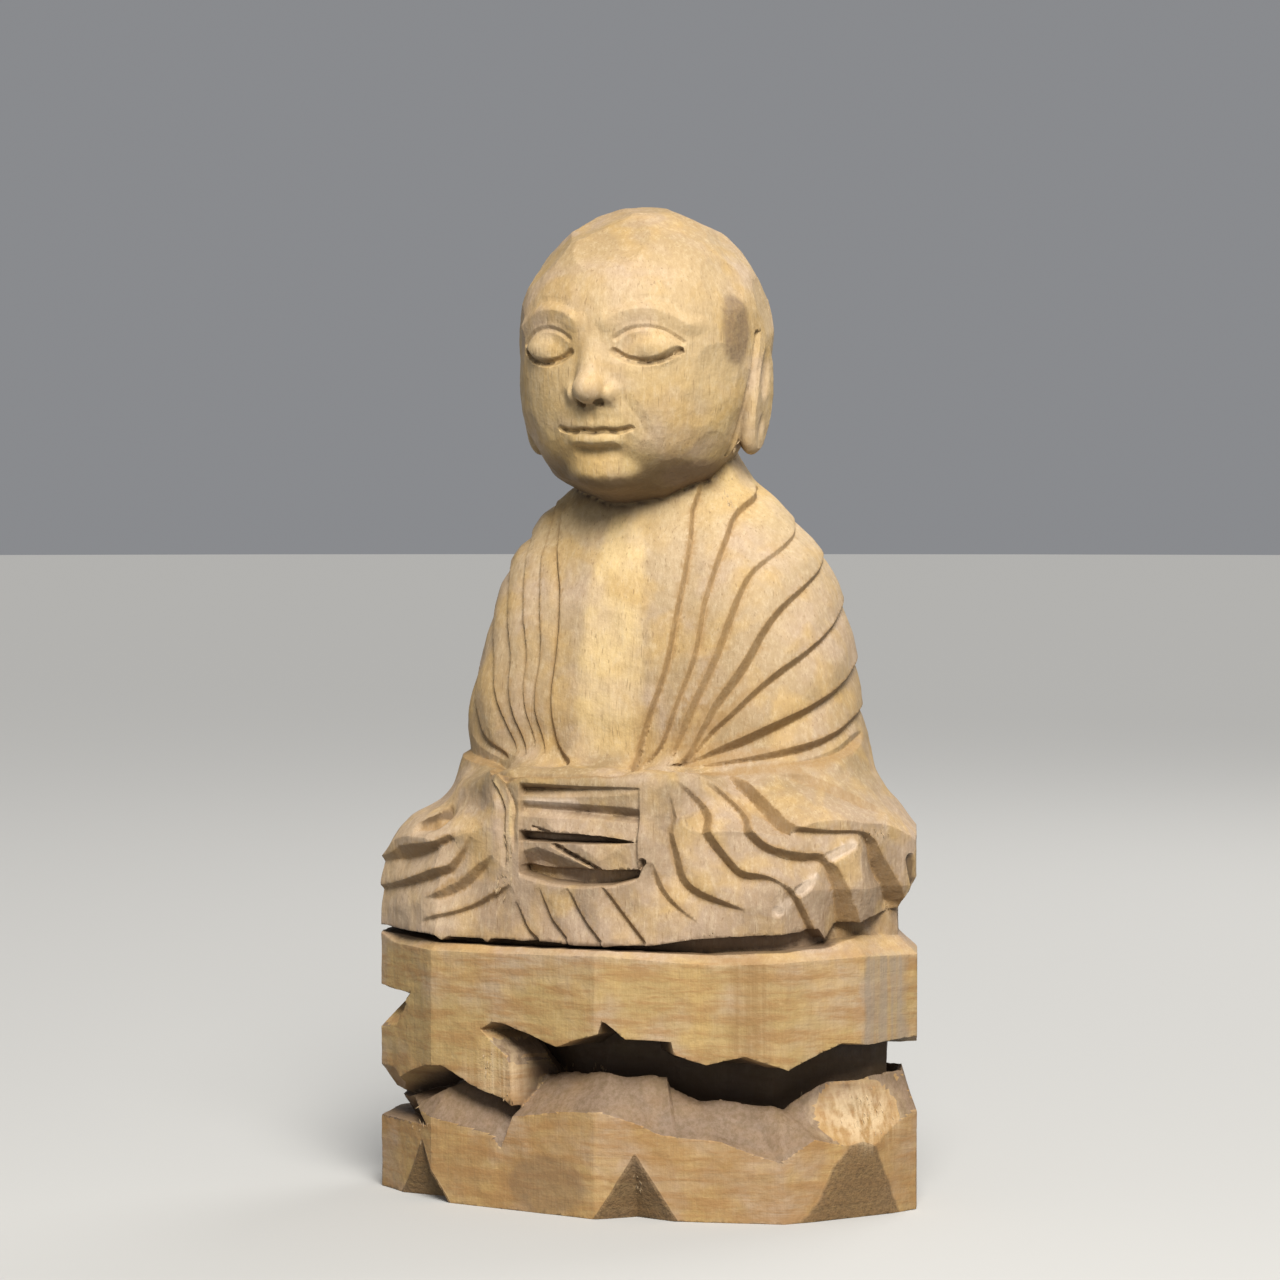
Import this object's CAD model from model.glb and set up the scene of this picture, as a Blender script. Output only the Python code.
"""A seated monk carved in one block of wood, with the slab and the rock he sits on.

The carving is worked out as one field of x, v and z in millimetres, negative inside the wood, where v runs forward
(v = -y). Its surface is meshed on a fine grid, thinned where it is flat, and given a procedural wood material.
"""
import math

import bmesh
import bpy
import numpy as np
from mathutils import Matrix, Vector


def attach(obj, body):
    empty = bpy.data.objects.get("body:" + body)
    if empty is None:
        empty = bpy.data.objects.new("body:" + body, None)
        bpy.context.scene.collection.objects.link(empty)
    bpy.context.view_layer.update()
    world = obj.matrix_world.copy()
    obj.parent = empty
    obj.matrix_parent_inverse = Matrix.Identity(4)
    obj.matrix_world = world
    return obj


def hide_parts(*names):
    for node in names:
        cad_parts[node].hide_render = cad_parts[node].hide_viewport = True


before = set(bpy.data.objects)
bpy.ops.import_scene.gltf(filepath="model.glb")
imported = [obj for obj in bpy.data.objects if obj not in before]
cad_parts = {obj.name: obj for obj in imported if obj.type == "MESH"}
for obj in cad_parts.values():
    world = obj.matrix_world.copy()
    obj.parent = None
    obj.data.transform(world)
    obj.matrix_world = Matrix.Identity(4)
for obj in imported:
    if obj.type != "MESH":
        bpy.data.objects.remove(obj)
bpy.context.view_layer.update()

# ---------------------------------------------------------------- the carving as a field
def smooth_table(rows, lo, hi, step=0.25):
    """Dense columns through the rows by a cubic with limited slopes."""
    r = np.array(rows, float)
    z, Y = r[:, 0], r[:, 1:]
    d = (Y[1:] - Y[:-1]) / (z[1:] - z[:-1])[:, None]
    m = np.zeros_like(Y)
    m[0], m[-1] = d[0], d[-1]
    same = d[1:] * d[:-1] > 0
    m[1:-1] = np.where(same, 2 * d[1:] * d[:-1] / np.where(same, d[1:] + d[:-1], 1), 0)
    g = np.arange(lo, hi + step, step)
    k = np.clip(np.searchsorted(z, g, side="right") - 1, 0, len(z) - 2)
    h = z[k + 1] - z[k]
    t = np.clip((g - z[k]) / h, 0, 1)[:, None]
    h = h[:, None]
    out = ((2*t**3 - 3*t**2 + 1) * Y[k] + (t**3 - 2*t**2 + t) * h * m[k]
           + (-2*t**3 + 3*t**2) * Y[k + 1] + (t**3 - t**2) * h * m[k + 1])
    return g, out

# z, half width, centre line, front, back, roundness, sideways shift
BODY = [
    (36, 46.5, -1, 25.5, -27, 3.0, 0),
    (46, 46.5, -1, 25.5, -27, 3.0, 0),
    (52, 46.4, -1, 24.6, -26.6, 2.9, 0),
    (57, 45.0, -1.5, 23.4, -26.5, 2.7, 1.0),
    (61, 42.2, -2, 20.8, -26.5, 2.6, 1.05),
    (64, 38.5, -3, 18.6, -26.5, 2.5, 2.2),
    (67, 36.1, -4, 16.6, -26.5, 2.4, 1.6),
    (70, 34.9, -5.5, 14.2, -26.6, 2.4, 0.6),
    (74, 33.9, -7, 13.6, -26.8, 2.4, 0.3),
    (80, 33.0, -7, 14.0, -26.8, 2.4, 0),
    (88, 31.4, -7.5, 13.2, -26.4, 2.4, 0.5),
    (97, 29.1, -8, 11.8, -25.5, 2.35, 0.5),
    (103, 26.8, -8, 10.2, -24.3, 2.3, 0.4),
    (107, 23.9, -8, 8.6, -22.8, 2.3, 0.4),
    (111, 20.7, -7.5, 7.0, -21, 2.2, 0),
    (114, 17.4, -7, 6.0, -19, 2.1, 0.6),
    (117, 14.4, -6, 5.4, -17, 2.0, 0.6),
    (122, 12.5, -5, 6, -15, 2.0, 0),
    (132, 12.0, -4, 6, -14, 2.0, 0),
]
BZ, BT = smooth_table(BODY, 36, 132)
BSTEP = 0.25

def cols(z):
    u = np.nan_to_num(np.clip((z - BZ[0]) / BSTEP, 0, len(BZ) - 1.001))
    k = u.astype(int)
    w = (u - k)[:, None]
    return BT[k] * (1 - w) + BT[k + 1] * w

def ring_ratio(x, v, z):
    c = cols(z)
    a, cv, fr, bk, n, sx = c.T
    x = x - sx
    dv = v - cv
    b = np.where(dv > 0, fr - cv, cv - bk)
    F = ((np.abs(x) / a) ** n + (np.abs(dv) / b) ** n) ** (1 / n)
    return F, np.hypot(x, dv)

def body(x, v, z):
    F, rho = ring_ratio(x, v, z)
    F = np.maximum(F, 1e-3)
    F1, _ = ring_ratio(x, v, z + 0.5)
    F0, _ = ring_ratio(x, v, z - 0.5)
    slope = rho / np.maximum(F1, 1e-3) - rho / np.maximum(F0, 1e-3)
    return rho * (1 - 1 / F) / np.sqrt(1 + slope * slope)

def body_point(phi, z):
    """Point of the plain body surface at an angle (degrees, 0 forward, + to the figure's left) and a height."""
    phi = np.radians(np.atleast_1d(phi).astype(float)); z = np.atleast_1d(z).astype(float)
    a, cv, fr, bk, n, sx = cols(z).T
    s, c = np.sin(phi), np.cos(phi)
    b = np.where(c > 0, fr - cv, cv - bk)
    r = ((np.abs(s) / a) ** n + (np.abs(c) / b) ** n) ** (-1 / n)
    return np.stack([sx + r * s, cv + r * c, z], -1)

def body_angle(P):
    a, cv, fr, bk, n, sx = cols(P[:, 2]).T
    return np.degrees(np.arctan2(P[:, 0] - sx, P[:, 1] - cv))

# plan of the block, clockwise from the figure's right front
PLAN = [(-44, 9), (-30, 19.5), (1.2, 25.5), (30.5, 18.5), (40, 8), (45, -3), (41.2, -14), (28, -24),
        (0, -27), (-28, -24.5), (-41, -15), (-46, -2)]
_p = np.array(PLAN, float)
_e = np.roll(_p, -1, 0) - _p
PN = np.stack([-_e[:, 1], _e[:, 0]], -1) / np.linalg.norm(_e, axis=1)[:, None]
PD = np.sum(PN * _p, 1)

def plan_dist(x, v, n=None):
    d = np.full(x.shape, -1e9)
    for (a, b), c in zip(PN, PD):
        d = np.maximum(d, a * x + b * v - c)
    return d

# ---------------------------------------------------------------- the block: slab, jagged hollow, rock
def ring(phi, table):
    """A height that changes round the block; phi in degrees, the table runs -180..180 and closes."""
    t = np.array(table, float)
    return np.interp(phi, t[:, 0], t[:, 1], period=360)

SLAB_EDGE = [(-78, 27.5), (-44.5, 28.2), (-40, 29.8), (-35, 29.5), (-14, 26.7), (-5, 28.1), (4, 29.2), (5.5, 31.4),
             (14, 28.5), (30, 28.3), (31, 26.3), (41, 24.7), (51, 26.2), (60, 24.1), (74, 27.9), (80, 27.3), (94, 27.8),
             (108, 25.5), (122, 29), (138, 26.5), (150, 30), (165, 27), (180, 29.5), (195, 26.5), (210, 29), (225, 27),
             (242, 29.5), (258, 27.5), (265, 27.5)]
ROCK_EDGE = [(-78, 28.3), (-44.5, 28.8), (-39, 26.2), (-35, 24.8), (-33.8, 23.5), (-32.5, 15), (-12, 16.5), (5, 17),
             (19, 15.1), (26, 13.6), (45, 12.8), (58, 9.7), (67, 13), (74, 11.8), (82, 11.3), (93, 16), (105, 13),
             (125, 17), (140, 13.5), (158, 17.5), (175, 14), (195, 17), (210, 13.5), (230, 17.5), (248, 14.5), (260, 20),
             (265, 28.3)]
SLIT_TOP = [(-105, 17), (-92, 20), (-78, 16.6), (-67, 20.3), (-60, 21.8), (-55, 22), (-51, 20.8), (-47, 19.4),
            (-42, 18.5), (-37, 17.8), (-30, 16)]
SLIT_FLOOR = [(-105, 17.5), (-92, 15), (-78, 13.6), (-73, 14.6), (-67, 14.6), (-60, 16.5), (-55, 19.3), (-52, 19.0),
              (-50, 16.6), (-44, 16.0), (-37, 16.4), (-30, 17.5)]
SLIT_BEVEL = [(-105, 18), (-96, 13.5), (-75, 12.5), (-63, 14.2), (-40, 11.7), (-37, 9.6), (-33, 14.4), (-30, 18)]
NICK_TOP = [(-100, 31), (-90, 34), (-78, 33.4), (-73, 33.0), (-69, 31.0), (-67, 29.6), (-60, 27)]
NICK_FLOOR = [(-100, 31.6), (-90, 27), (-78, 26.4), (-73, 27.4), (-69, 31.0), (-67, 33.0), (-60, 36)]
LIP = [(-180, 41), (-84, 42.1), (-78.4, 41.9), (-74, 40.7), (-57, 40.6), (5, 41.6), (45, 40.4), (59, 41.0), (79, 41.4), (93, 40.9), (130, 41.2)]
BEVEL = [(-180, 1.4), (-84, 0.2), (-78.4, 0.3), (-74, 1.4), (-57, 1.2), (5, 0.8), (45, 1.5), (60, 1.4), (73, 1.7), (84, 3.2), (100, 3.4), (130, 1.6)]
HEM = [(-180, 44), (-100, 43.6), (-77, 43.1), (-60.4, 43.1), (-57.6, 42.9), (-56.3, 42.2), (-54.8, 42.9), (-46.2, 42.8), (-45, 42.2), (-43.8, 42.85),
       (-29, 42.8), (-16, 42.65), (5, 42.7), (23, 43.0),
       (39, 44.2), (56, 44.9), (67, 45.0), (71, 45.8), (74, 43.9), (78, 46.0), (84, 47.0), (96, 48.2), (107, 47.5),
       (130, 45.5), (150, 44.8)]
RIDGE = [(-100, 22), (-32, 21.6), (-20, 22.3), (-3, 22.9), (10, 22.2), (31, 22.1), (32.5, 20.5), (45, 18.4), (56, 18.6),
         (68, 17.3), (73, 19.6), (79, 21.6), (88, 22), (100, 22.8), (120, 21), (140, 22.5), (160, 20), (180, 22),
         (200, 20.5), (220, 22), (240, 21), (255, 22.5)]
RIDGE_IN = [(-95, 4), (-60, 7), (70, 7), (84, 4.5), (94, 2.4), (112, 2.6), (132, 6.5), (180, 7), (210, 6), (255, 4)]
HOLLOW = [(-95, 6), (-50, 12), (62, 12), (78, 9.5), (90, 4.8), (112, 4.6), (130, 9), (180, 11), (215, 9), (255, 6)]
CEIL_SLOPE = 0.05
# angle, half width, height, depth of the gouged notches at the foot
NOTCHES = [(-61.5, 5.6, 9.2, 6.0), (17.5, 6.2, 9.8, 3.6), (118, 5.5, 8, 3.2), (166, 6.5, 10, 3.4), (-137, 6, 8, 3.4)]
# corner facets: apex angle and height, the two foot angles
CORNERS = [((77, 11.2), 66.5, 87.5), ((-100, 9.0), -114, -90), ((-57, 0), -58, -56)][:2]

def plan_point(deg):
    a = np.radians(deg)
    s, c = np.sin(a), np.cos(a)
    r = np.min(np.where(PN[:, 0] * s + PN[:, 1] * c > 1e-6, PD / np.maximum(PN[:, 0] * s + PN[:, 1] * c, 1e-6), 1e9))
    return np.array([r * s, r * c])

def base(x, v, z):
    d = plan_dist(x, v)
    t = np.maximum(-d, 0)
    phi = np.degrees(np.arctan2(x, v))
    lip, bev, hem = ring(phi, LIP), ring(phi, BEVEL), 0
    f = np.maximum(d, (z - (lip + np.minimum(0.95 * t, bev))) * 0.8)
    f = np.maximum(f, -z)
    # the jagged hollow between slab and rock
    e, r, ti = ring(phi, ROCK_EDGE), ring(phi, RIDGE), ring(phi, RIDGE_IN)
    floor = np.where(t < ti, e + np.maximum(r - e, 0.3) * t / ti, np.maximum(r, e + 0.3) - 1.3 * (t - ti))
    k = np.maximum((floor - z) * 0.72, (z - ring(phi, SLAB_EDGE) + CEIL_SLOPE * t) * 0.98)
    k = np.maximum(k, (t - ring(phi, HOLLOW)) * 0.95)
    f = np.maximum(f, -k)
    # the slit under the boulder at the right side of the statue, and the nick above it
    fl = np.minimum(wrap(phi, SLIT_FLOOR) + 0.45 * t, wrap(phi, SLIT_BEVEL) + 1.15 * t)
    k = np.maximum((fl - z) * 0.8, (z - wrap(phi, SLIT_TOP) + 0.25 * t) * 0.9)
    k = np.maximum(k, t - 7)
    f = np.maximum(f, -k)
    k = np.maximum((wrap(phi, NICK_FLOOR) + 1.1 * t - z) * 0.67, (z - wrap(phi, NICK_TOP) + 0.4 * t) * 0.9)
    f = np.maximum(f, -k)
    # flats that round the boulder between nick and slit
    m = np.clip((np.abs((phi + 88 + 180) % 360 - 180) - 14) * 0.35, 0, 9)
    f = np.where((z > 12) & (z < 33), np.maximum(f, (d + 0.62 * np.abs(z - 24.5) - 2.7 - m) * 0.85), f)
    for a0, w, h, dp in NOTCHES:
        p = plan_point(a0)
        r = np.hypot(*p)
        s = np.radians((phi - a0 + 180) % 360 - 180) * r
        g = 1 - np.abs(s) / w - z / h - t / dp
        f = np.maximum(f, g / np.sqrt(1 / w**2 + 1 / h**2 + 1 / dp**2))
    for (a0, h), a1, a2 in CORNERS:
        A = np.array([*plan_point(a0), h]); B = np.array([*plan_point(a1), 0]); Cc = np.array([*plan_point(a2), 0])
        n = np.cross(B - A, Cc - A)
        n /= np.linalg.norm(n)
        if n[:2] @ A[:2] < 0: n = -n
        f = np.maximum(f, n[0] * (x - A[0]) + n[1] * (v - A[1]) + n[2] * (z - A[2]))
    return f

def wrap(phi, table):
    """As ring, but level outside the table's span."""
    t = np.array(table, float)
    mid = (t[0, 0] + t[-1, 0]) / 2
    return np.interp((phi - mid + 180) % 360 - 180 + mid, t[:, 0], t[:, 1])

# ---------------------------------------------------------------- the robe: body, sleeves over the hands
SLEEVE_X, SLEEVE_HALF, SLEEVE_FRONT, SLEEVE_TOP = -2.2, 15.0, 21.3, 70.6
# how far the robe stays inside the block's plan, and how far it falls in again low down
INSET = [(-180, 1.6), (-115, 1.4), (-98, -0.1), (-66, -0.1), (-48, 1.4), (-20, 1.7), (50, 1.6), (70, 1.0), (82, 0.1), (120, 0.2), (138, 1.4)]
UNDER = [(-180, 0.3), (-100, 0.0), (-60, 0.0), (50, 0.1), (78, 0.9), (120, 1.0), (150, 0.3)]
# the flat cut across the knee's lower corner, through three points, and how deep the gap over the slab runs
KNEE = np.array([(44.8, -3, 52.8), (41.0, -14, 52.8), (42.9, 1.2, 47.6)])
KNEE_N = np.cross(KNEE[1] - KNEE[0], KNEE[2] - KNEE[0])
KNEE_N /= np.linalg.norm(KNEE_N)
CORE = [(-180, 5.5), (80, 5.5), (92, 3.1), (118, 2.9), (132, 5.5)]

def robe_plain(x, v, z):
    d = plan_dist(x, v)
    f = body(x, v, z)
    # the block of the sleeves in front, with slanting sides
    X = np.abs(x - SLEEVE_X)
    g = np.maximum(v - SLEEVE_FRONT - (70 - z) * 0.05, (X - SLEEVE_HALF - (SLEEVE_FRONT - v) * 1.25) / 1.6)
    g = np.maximum(g, X - 27)
    g = smax(g, (z - SLEEVE_TOP + np.maximum(X - 17, 0) * 0.35) * 0.95, 2.4)
    g = np.maximum(g, (50.5 + (SLEEVE_FRONT - v) * 0.2 - z) * 0.95)
    g = np.maximum(g, -v)
    f = smin(f, g, 3.0)
    phi = np.degrees(np.arctan2(x, v))
    f = np.maximum(f, d + ring(phi, INSET) + ring(phi, UNDER) * np.clip((52 - z) * 0.34, 0, 2.6))
    f = np.maximum(f, KNEE_N[0] * (x - KNEE[0, 0]) + KNEE_N[1] * (v - KNEE[0, 1]) + KNEE_N[2] * (z - KNEE[0, 2]))
    return f

def smin(a, b, k):
    h = np.maximum(k - np.abs(a - b), 0) / k
    return np.minimum(a, b) - h * h * k / 4

def smax(a, b, k):
    return -smin(-a, -b, k)

# ---------------------------------------------------------------- folds, cut as gouge strokes with one steep side
# depth, steep width, gentle width, gentle side (+1 right of travel, -1 left, seen from outside), lead in, lead out, route
FOLDS = [
    (0.9, 0.7, 4.2, 1, .0, .05, [(-75, 117.5), (-57.3, 113.1), (-34.4, 98.6), (-31.5, 82.6), (-29.4, 73.8), (-21.7, 70.8)]),
    (0.9, 0.6, 3.2, 1, .0, .05, [(-80, 113), (-57.8, 109.8), (-40.7, 93.8), (-38.0, 79.7), (-34.3, 72.2)]),
    (0.8, 0.6, 3.0, 1, .0, .05, [(-85, 108.5), (-62, 105.6), (-46.9, 91.5), (-43.5, 82.5), (-38.3, 72.6)]),
    (0.9, 0.6, 3.6, 1, .0, .05, [(-92, 104), (-68, 101.3), (-54.0, 90.0), (-49.0, 80.8), (-42.0, 72.0)]),
    (0.9, 0.7, 3.6, 1, .0, .05, [(-100, 100), (-78, 97.5), (-63.0, 89.3), (-56.5, 82.0), (-45.6, 72.0)]),
    (1.0, 0.7, 4.0, 1, .0, .05, [(-112, 95), (-92, 92), (-75.8, 86.9), (-66.8, 79.4), (-60.6, 74.2), (-48.5, 71.4)]),
    (1.0, 0.7, 4.4, -1, .05, .0, [(70, 119), (42.0, 113.9), (27.7, 98.9), (19.5, 83.0), (8.3, 71.0)]),
    (1.0, 0.8, 3.6, -1, .0, .0, [(88, 115), (56.0, 109.9), (38.4, 98.9), (32.3, 87.8), (21.6, 75.1), (10.7, 71.1)]),
    (1.1, 0.9, 4.2, -1, .0, .0, [(112, 111.5), (92, 109.0), (63, 103.8), (50.8, 98.9), (41.7, 89.4), (31.7, 78.3), (25.5, 73.4)], [(0, .4, .7), (.35, .6, .9), (.55, 1, 1.15), (.85, 1.35, 1.8), (1, 1, 1.2)]),
    (1.3, 1.0, 4.8, -1, .0, .0, [(122, 107), (92.7, 103.1), (63.1, 95.7), (47.7, 84.7), (31.4, 72.9)], [(0, .4, .7), (.35, .6, .9), (.55, 1, 1.15), (.85, 1.35, 1.8), (1, 1, 1.2)]),
    (1.5, 1.1, 5.0, -1, .0, .0, [(128, 100), (96.0, 95.8), (62.6, 86.2), (45.1, 78.4), (30.0, 72.2)], [(0, .4, .7), (.35, .6, .9), (.55, 1, 1.15), (.85, 1.35, 1.8), (1, 1, 1.2)]),
    (1.6, 1.1, 4.6, -1, .0, .0, [(130, 91), (110, 88.8), (91.5, 84.9), (65.4, 78.3), (47.8, 74.1), (29, 72.0)], [(0, .4, .7), (.35, .6, .9), (.55, 1, 1.15), (.85, 1.35, 1.8), (1, 1, 1.2)]),
    (1.4, 1.0, 4.2, -1, .0, .0, [(130, 83), (108, 80.5), (89.6, 77.8), (69.0, 73.8), (48.1, 72.0), (30, 71.8)], [(0, .4, .7), (.35, .6, .9), (.55, 1, 1.15), (.85, 1.35, 1.8), (1, 1, 1.2)]),
    # the waist
    (1.1, 1.2, 3.2, 1, .05, .05, [(95, 76), (75, 72.8), (50, 71.2), (31.5, 70.9), (11.3, 70.6), (-15.6, 70.3), (-42.9, 70.4), (-60, 71.2), (-85, 72.5), (-110, 73)]),
    # two grooves down the sleeve's edge beside the hands
    (0.7, 0.5, 1.3, 1, .1, .25, [(-39.6, 68.4), (-38.6, 61), (-38.2, 54.5)]),
    (0.45, 0.4, 1.0, -1, .2, .3, [(-35.4, 68.0), (-35.2, 62), (-35.0, 57.0)]),
    # lap and sleeve on the figure's left
    (1.0, 0.9, 3.6, 1, .2, .3, [(20.1, 56.5), (23.7, 52.8), (29.1, 49.7), (38.8, 46.6)], [(0, .6, .8), (.35, 1.25, 1.6), (.6, 1.15, 1.5), (1, .8, .9)]),
    (1.2, 0.9, 4.2, 1, .2, .15, [(21.9, 68.4), (27.5, 56.8), (34.1, 52.1), (41.8, 50.1), (50.9, 48.8)], [(0, .6, .8), (.35, 1.25, 1.6), (.6, 1.15, 1.5), (1, .8, .9)]),
    (1.3, 1.0, 4.4, 1, .15, .0, [(25.2, 69.2), (33.8, 64.6), (37.3, 60.0), (47.8, 54.3), (55.3, 53.7), (59.5, 52.3), (62.4, 50.2), (68.1, 44.9)], [(0, .6, .8), (.3, 1.25, 1.6), (.5, 1.1, 1.3), (.65, .35, .8), (.8, .8, .9), (1, .8, .9)]),
    (1.5, 1.1, 4.2, 1, .12, .0, [(33.7, 70.0), (44.8, 65.0), (47.9, 60.9), (53.2, 58.0), (62.0, 56.6), (67.2, 56.5), (70.4, 54.2), (73.4, 49.3), (76.3, 44.5)], [(0, .6, .8), (.3, 1.25, 1.6), (.5, 1.15, 1.5), (.68, .9, 1.1), (.85, 1.3, 2.2), (1, 1.7, 3.0)]),
    (1.6, 1.1, 4.2, 1, .04, .0, [(44.3, 70.6), (49.7, 66.8), (53.2, 63.8), (56.4, 62.2), (60.5, 61.3), (68.5, 60.9), (75.2, 60.7), (78.4, 59.2), (80.4, 56.6), (83.1, 54.0), (88.2, 48.8)], [(0, .9, 1.0), (.1, 1.1, 1.3), (.2, 1.25, 1.6), (.3, 1.1, 1.4), (.4, .75, 1.0), (.5, .5, .7), (.6, .45, .6), (.7, .9, .9), (.8, 1.2, 1.4), (1, 1.6, 2.2)]),
    (0.7, 1.4, 4.8, 1, .3, .3, [(53.7, 70.7), (66.1, 68.9), (76.2, 65.9), (84.6, 63.4)]),
    # the same on the right
    (1.7, 2.1, 2.4, -1, .2, .35, [(-63.4, 63.6), (-60.9, 62.1), (-61.2, 61.0), (-63.3, 60.4), (-66.0, 59.7)]),
    (1.5, 1.2, 3.4, -1, .2, .1, [(-52.1, 60.3), (-53.2, 58.7), (-57.1, 57.0), (-64.1, 55.5), (-69.7, 54.6), (-74.3, 54.1), (-86, 52.3)], [(0, .5, .6), (.17, 1.0, .7), (.33, 1.15, .9), (.5, 1.25, 1.6), (.67, 1.1, 1.8), (.83, .5, 1.2), (1, .2, .8)]),
    (1.4, 1.0, 3.4, -1, .2, .1, [(-48.5, 59.2), (-49.8, 57.3), (-51.9, 54.6), (-53.5, 53.1), (-58.2, 52.1), (-66.2, 50.7), (-77.1, 49.2), (-90, 48)], [(0, .6, .7), (.29, 1.0, 1.0), (.43, 1.2, 1.3), (.57, 1.2, 1.4), (.71, .8, 1.1), (.86, .4, .8), (1, .2, .8)]),
    (1.4, 1.2, 3.4, -1, .2, .2, [(-42.8, 56.3), (-45.4, 54.0), (-49.2, 51.3), (-53.0, 49.7), (-55.6, 49.0), (-61.5, 48.7)], [(0, .5, .6), (.4, 1.2, 1.6), (.6, 1.2, 1.9), (.8, .9, 1.4), (1, .3, .8)]),
    (0.9, 0.7, 3.2, -1, .2, .2, [(-35.1, 51.7), (-41.0, 49.8), (-46.8, 47.9), (-53.2, 46.3), (-61.2, 44.8)]),
    # the fan below the hands
    (0.8, 0.6, 2.6, 1, .3, .0, [(-33.5, 49.2), (-29.5, 45.0), (-25.3, 43.2)]),
    (0.8, 0.6, 2.8, 1, .3, .0, [(-24.1, 51.6), (-19.7, 46.8), (-12.9, 43.8)]),
    (0.8, 0.6, 3.0, 1, .3, .0, [(-11.9, 51.8), (-6.1, 47.7), (2.5, 43.6)]),
    (0.9, 0.6, 3.2, 1, .3, .0, [(2.4, 53.0), (9.9, 48.6), (19.1, 43.6)]),
    # the plainer back
    (1.1, 0.9, 5.0, -1, .15, .15, [(170, 113), (-170, 104), (-150, 94), (-130, 86), (-112, 80)]),
    (1.2, 1.0, 5.4, -1, .15, .15, [(140, 106), (165, 98), (-168, 88), (-145, 80), (-120, 75.5)]),
    (1.2, 1.0, 5.4, -1, .15, .15, [(136, 96), (160, 88), (-175, 80), (-150, 74.5), (-128, 71.5)]),
    (1.1, 1.1, 4.0, 1, .1, .1, [(-115, 71), (-140, 70), (-175, 69.5), (150, 70), (125, 71), (100, 74)]),
    (1.1, 1.0, 4.6, 1, .2, .2, [(-110, 66), (-135, 61), (-165, 57), (170, 55)]),
    (1.1, 1.0, 4.6, -1, .2, .2, [(108, 66), (130, 60), (155, 53), (175, 49)]),
    (1.1, 1.0, 4.6, 1, .2, .2, [(-105, 58), (-130, 51), (-155, 47.5)]),
    (1.1, 1.0, 4.6, -1, .2, .2, [(104, 57), (122, 51), (140, 47.5)]),
]

def surface_point(deg, z, f):
    a = np.radians(np.asarray(deg, float)); z = np.asarray(z, float)
    c = cols(z)
    cv, sx = c[:, 1], c[:, 5]
    lo, hi = np.zeros(len(z)), np.full(len(z), 60.0)
    for _ in range(22):
        m = (lo + hi) / 2
        inside = f(sx + m * np.sin(a), cv + m * np.cos(a), z) < 0
        lo, hi = np.where(inside, m, lo), np.where(inside, hi, m)
    return np.stack([sx + lo * np.sin(a), cv + lo * np.cos(a), z], -1)

def gradient(f, P, e=0.15):
    g = np.stack([f(P[:, 0] + e, P[:, 1], P[:, 2]) - f(P[:, 0] - e, P[:, 1], P[:, 2]),
                  f(P[:, 0], P[:, 1] + e, P[:, 2]) - f(P[:, 0], P[:, 1] - e, P[:, 2]),
                  f(P[:, 0], P[:, 1], P[:, 2] + e) - f(P[:, 0], P[:, 1], P[:, 2] - e)], -1)
    return g / np.maximum(np.linalg.norm(g, axis=1, keepdims=True), 1e-9)

def spline(pts, per=5):
    """Catmull-Rom through the points."""
    p = np.array(pts, float)
    if len(p) == 2:
        p = np.array([p[0], (p[0] + p[1]) / 2, p[1]])
    q = np.vstack([2 * p[0] - p[1], p, 2 * p[-1] - p[-2]])
    out = []
    for i in range(len(p) - 1):
        a, b, c, d = q[i:i + 4]
        for t in np.arange(per) / per:
            out.append(0.5 * (2 * b + (c - a) * t + (2 * a - 5 * b + 4 * c - d) * t**2 + (3 * b - a - 3 * c + d) * t**3))
    out.append(p[-1])
    return np.array(out)

def lay_fold(fold, f):
    D, w0, w1, side, t0, t1, route = fold[:7]
    along = np.array(fold[7] if len(fold) > 7 else [(0, 1, 1), (1, 1, 1)], float)
    r = np.array(route, float)
    r[:, 0] = np.degrees(np.unwrap(np.radians(r[:, 0])))
    s = spline(r)
    P = surface_point(s[:, 0], s[:, 1], f)
    N = gradient(f, P)
    wide = np.pad(N, ((2, 2), (0, 0)), mode="edge")
    N = sum(k * wide[i:i + len(N)] for i, k in enumerate((1, 2, 3, 2, 1)))
    N /= np.linalg.norm(N, axis=1, keepdims=True)
    T = np.gradient(P, axis=0)
    T /= np.linalg.norm(T, axis=1, keepdims=True)
    B = np.cross(N, T) * side
    B /= np.linalg.norm(B, axis=1, keepdims=True)
    return dict(P=P, N=N, B=B, D=D, w0=w0, w1=w1, t0=t0, t1=t1, along=along)

LAID = [lay_fold(g, robe_plain) for g in FOLDS]

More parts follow.
